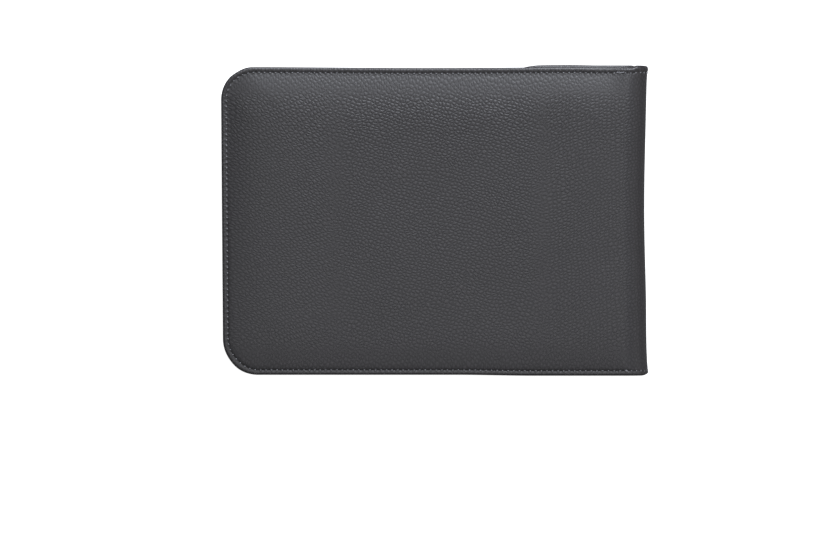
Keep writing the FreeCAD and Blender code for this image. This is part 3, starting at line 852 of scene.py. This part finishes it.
def plate_sag(u, y, mouth):
    """How much lower the middle of a plate hangs, most of all at its mouth."""
    near_mouth = 0.55 + 0.45 * ease((u - mouth + 30) / 30)
    return PLATE_SAG * bell(y / HALF_Y) * ease((u + HALF_X) / 70) * near_mouth


def strip_sag(y, from_mouth):
    """How much lower the middle of a card pocket's strip hangs, most of all at its mouth."""
    return STRIP_SAG * bell(y / HALF_Y) * (1 - 0.5 * ease(from_mouth / 10))


def sheet_paths(columns, insets, steps):
    """Paths from a sheet's middle out to its edge, with square corners at first and round ones then."""
    square, ring = columns.square(SQUARE_INSET, SQUARE_REACH), columns.at(RING_INSET)
    middle = [lerp(square, ring, t) for t in np.linspace(0, 1, steps)]
    return middle + [columns.at(inset) for inset in reversed(insets)]


def make_tray(
    name, node, *, mouth, base, top, thickness, band, rear, material, slot, inset=FLANGE_INSET, notch=0.0
):
    """A pocket panel that is sewn down round the free edges and stands open at its mouth."""
    columns = Columns(mouth, SHEET_STEP, SHEET_CORNER_STEPS, (*MOUTH_STEPS, AFTER_MOUTH))
    pattern = Pattern()
    insets = [*np.linspace(inset, inset + 0.3, 4), *np.arange(inset + 0.6, RING_INSET, 0.45)]
    paths = sheet_paths(columns, insets, 7)

    def depths(points, face):
        u, y = points[:, 0], points[:, 1]
        local = inset_of(u, y)
        sag = plate_sag(u, y, mouth)
        return sheet_depths(local, base, top, thickness, band, mouth - u, sag, local - inset)[face]

    for face in (0, 1):
        rows = [pattern.add(path, depths(path, face)) for path in paths]
        pattern.fill(rows[0], columns, lambda points: depths(points, face))
        pattern.bridge_all(rows)
    if notch:
        for row in pattern.rows:
            scoop = notch * np.sqrt(bell(row[:, 1] / 17))
            row[:, 0] -= scoop * ease((row[:, 0] - mouth + 38) / 38)
    panel = make_object(name, pattern, rear, merge=MERGE)
    dress(panel, material, slot, node)
    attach(panel, "rear_half" if rear else "front_half")
    return panel


def make_strip(number):
    """A stepped card pocket's leather, from its mouth to just under the next pocket."""
    mouth, top, base = card_mouth(number), card_top(number), SLIP_FLANGE
    tuck = 2.0
    length = mouth - card_mouth(number - 1) + tuck
    far = [*np.linspace(AFTER_MOUTH, length - 0.3, 12), length - 0.12, length - 0.04, length]
    edge = HALF_Y - FLANGE_INSET
    rim = np.array([0, 0.05, 0.15, 0.3, *np.arange(0.6, 7, 0.4)])
    ys = np.concatenate([-edge + rim, np.linspace(-edge + 8, edge - 8, 50), (edge - rim)[::-1]])
    pattern = Pattern()
    for face in (0, 1):
        rows = []
        for distance in (*MOUTH_STEPS, *far):
            line = np.column_stack([np.full(len(ys), mouth - distance), ys])
            inset = HALF_Y - np.abs(ys)
            to_edge = np.minimum(edge - np.abs(ys), length - distance)
            sag = strip_sag(ys, distance)
            depths = sheet_depths(inset, base, top, LEATHER_THIN, CARD_BAND, distance, sag, to_edge)
            rows.append(pattern.add(line, depths[face]))
        pattern.bridge_all(rows)
    strip = make_object(f"card_pocket_{number}", pattern, False, merge=MERGE)
    dress(strip, POCKET_LEATHER, "pocket_leather", card_node(number))
    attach(strip, "front_half")


def make_pocket_cloth(number):
    """The cloth that carries a stepped card pocket down to its sewn bottom, with a soft ripple."""
    node = f"card_pocket_{number}_fabric"
    low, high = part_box(node)
    thickness = 0.25
    us = np.linspace(low.x / MM, high.x / MM + 8, 40)
    ys = np.linspace(low.y / MM, high.y / MM, 60)
    length = us[-1] - us[0]
    top, bottom = high.z / MM, SLIP_TOP + thickness / 2
    pattern = Pattern()
    for face in (1, -1):
        rows = []
        for u in us:
            line = np.column_stack([np.full(len(ys), u), ys])
            along = u - us[0]
            level = lerp(bottom, top - thickness / 2 - 0.15, ease(along / 7))
            ripple = 0.06 * np.sin(ys / 4.3 + number) * ease(along / 12)
            to_edge = np.minimum(np.minimum(along, length - along), ys[-1] - np.abs(ys))
            rows.append(pattern.add(line, level + ripple + face * rounded(thickness / 2, to_edge)))
        pattern.bridge_all(rows)
    cloth = make_object(f"card_pocket_{number}_cloth", pattern, False, merge=MERGE)
    dress(cloth, POCKET_CLOTH, "pocket_cloth", node)
    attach(cloth, "front_half")


def make_lining(rear):
    """The lining cloth of a half, up to the middle of the spine. Its edge lies on the turned leather."""
    half = "rear" if rear else "front"
    thickness = 0.2
    columns = Columns(SPINE_U, SHEET_STEP, SHEET_CORNER_STEPS, LINING_END)
    pattern = Pattern()
    rolled = LINING_EDGE + np.array([0, 0.03, 0.08, 0.2, 0.5])
    paths = sheet_paths(columns, [*rolled, *np.arange(LINING_EDGE + 1.2, RING_INSET, 1.0)], 6)

    def depth_of(points, face):
        inset = inset_of(points[:, 0], points[:, 1])
        return INSIDE - thickness / 2 + face * rounded(thickness / 2, inset - LINING_EDGE)

    ends = []
    for face in (1, -1):
        rows = [pattern.add(path, depth_of(path, face)) for path in paths]
        line = pattern.fill(rows[0], columns, lambda points: depth_of(points, face))
        pattern.bridge_all(rows)
        ends.append(np.array([*[row[0] for row in reversed(rows)], *line, *[row[-1] for row in rows]]))
    pattern.bridge(ends[0], ends[1])
    cloth = make_object(f"{half}_lining_cloth", pattern, rear, merge=LINING_MERGE)
    dress(cloth, LINING, "lining_cloth", f"{half}_lining", "spine_lining")
    bend_with_spine(cloth, rear)


def make_mouth_stitches():
    """Stitch lines along the mouths of the card pockets."""
    pattern = Pattern()
    half_width, sunk = 44.0, 0.06
    count = round(2 * half_width / PITCH)
    ys = (np.arange(count) + 0.5) / count * 2 * half_width - half_width
    tangents = np.tile([0.0, 1.0], (count, 1))
    for number in CARD_POCKETS:
        places = np.column_stack([np.full(count, card_mouth(number) - MOUTH_SEAM), ys])
        rise = card_top(number) - LEATHER_THIN - SLIP_FLANGE
        sag = PLATE_SAG * bell(ys / HALF_Y) if number == 1 else strip_sag(ys, MOUTH_SEAM)
        surface = card_top(number) - rise * sag - sunk
        add_stitches(pattern, places, tangents, surface, 1, 1.3, math.radians(10), THREAD_R * 0.9)
    row = make_object("pocket_mouth_stitches", pattern, False)
    dress(row, THREAD, "thread", "card_pocket_mouth_threads", "card_pocket_base_threads")
    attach(row, "front_half")


def make_inside():
    """Everything between the covers."""
    for rear in (False, True):
        make_lining(rear)
    make_tray(
        "slip_pocket", "slip_pocket_panel", mouth=MOUTH, base=INSIDE - 0.03, top=SLIP_TOP,
        thickness=PANEL, band=3.8, rear=False, material=POCKET_LEATHER, slot="pocket_leather",
    )
    for number in CARD_POCKETS[:-1]:
        make_strip(number)
        make_pocket_cloth(number)
    make_tray(
        "card_pocket_1", "card_pocket_1_panel", mouth=card_mouth(1), base=SLIP_FLANGE - 0.02,
        top=card_top(1), thickness=LEATHER_THIN, band=CARD_BAND, rear=False, material=POCKET_LEATHER,
        slot="pocket_leather",
    )
    make_tray(
        "passport_pocket", "passport_pocket_panel", mouth=MOUTH, base=INSIDE - 0.03, top=POCKET_TOP,
        thickness=PANEL, band=3.0, rear=True, material=POCKET_LEATHER, slot="pocket_leather", notch=NOTCH,
    )
    backing_mouth = MOUTH - 0.5
    backing = make_tray(
        "passport_pocket_lining", "passport_pocket_backing", mouth=backing_mouth, base=INSIDE + 0.05,
        top=POCKET_TOP - PANEL, thickness=0.2, band=3.5, rear=True, material=POCKET_CLOTH,
        slot="pocket_cloth", inset=BACKING_INSET, notch=NOTCH,
    )
    make_mouth_stitches()


# ---------------------------------------------------------------- studio


def make_floor():
    """A large pale floor just under the wallet."""
    mesh = bpy.data.meshes.new("floor")
    reach = 4.0
    drop = -0.05 * MM
    corners = [(-reach, -reach, drop), (reach, -reach, drop), (reach, reach, drop), (-reach, reach, drop)]
    mesh.from_pydata(corners, [], [(0, 1, 2, 3)])
    floor = bpy.data.objects.new("floor", mesh)
    floor.data.materials.append(make_floor_material())
    floor.visible_glossy = False
    bpy.context.scene.collection.objects.link(floor)


def add_light(name, place, size, power, tint):
    """A soft box that is aimed at the wallet. The camera doesn't see it."""
    light = bpy.data.lights.new(name, "AREA")
    light.shape = "RECTANGLE"
    light.size, light.size_y = size
    light.energy = power
    light.color = tint
    lamp = bpy.data.objects.new(name, light)
    lamp.location = place
    lamp.rotation_euler = (-Vector(place)).to_track_quat("-Z", "Y").to_euler()
    lamp.visible_camera = False
    bpy.context.scene.collection.objects.link(lamp)


def make_studio():
    """White surroundings, a large soft box beyond the wallet's upper long edge, and two weak ones."""
    world = bpy.data.worlds.new("studio")
    world.use_nodes = True
    tree = world.node_tree
    seen = tree.nodes.new("ShaderNodeLightPath").outputs["Is Camera Ray"]
    strength = tree.nodes.new("ShaderNodeMapRange")
    strength.inputs["To Min"].default_value = 0.27
    strength.inputs["To Max"].default_value = 1.0
    tree.links.new(seen, strength.inputs["Value"])
    tree.links.new(strength.outputs["Result"], tree.nodes["Background"].inputs["Strength"])
    tree.nodes["Background"].inputs["Color"].default_value = (0.97, 0.98, 1.0, 1)
    bpy.context.scene.world = world
    add_light("key_box", place=(0.22, 0.94, 0.8), size=(0.8, 0.45), power=25.5, tint=(0.88, 0.92, 1.0))
    add_light("top_box", place=(0.05, 0.15, 1.9), size=(0.7, 0.7), power=3.5, tint=(1.0, 0.99, 0.99))
    add_light("side_box", place=(1.1, 0.1, 0.5), size=(0.8, 0.8), power=1.3, tint=(1.0, 1.0, 1.0))
    bpy.context.scene.view_settings.view_transform = "Standard"


def make_camera():
    """Straight down from far away. The wallet lies right of and above the middle of the picture."""
    lens, sensor, view_width = 400.0, 36.0, 278.3
    off_x, off_y = -4.6, -19.5
    data = bpy.data.cameras.new("camera")
    data.lens, data.sensor_width = lens, sensor
    camera = bpy.data.objects.new("camera", data)
    distance = view_width * lens / sensor
    camera.location = (off_x * MM, off_y * MM, (THICK + distance) * MM)
    bpy.context.scene.collection.objects.link(camera)
    bpy.context.scene.camera = camera


make_camera()
make_studio()
make_floor()
for is_rear in (False, True):
    make_cover(is_rear)
    make_stitches(is_rear)
make_inside()
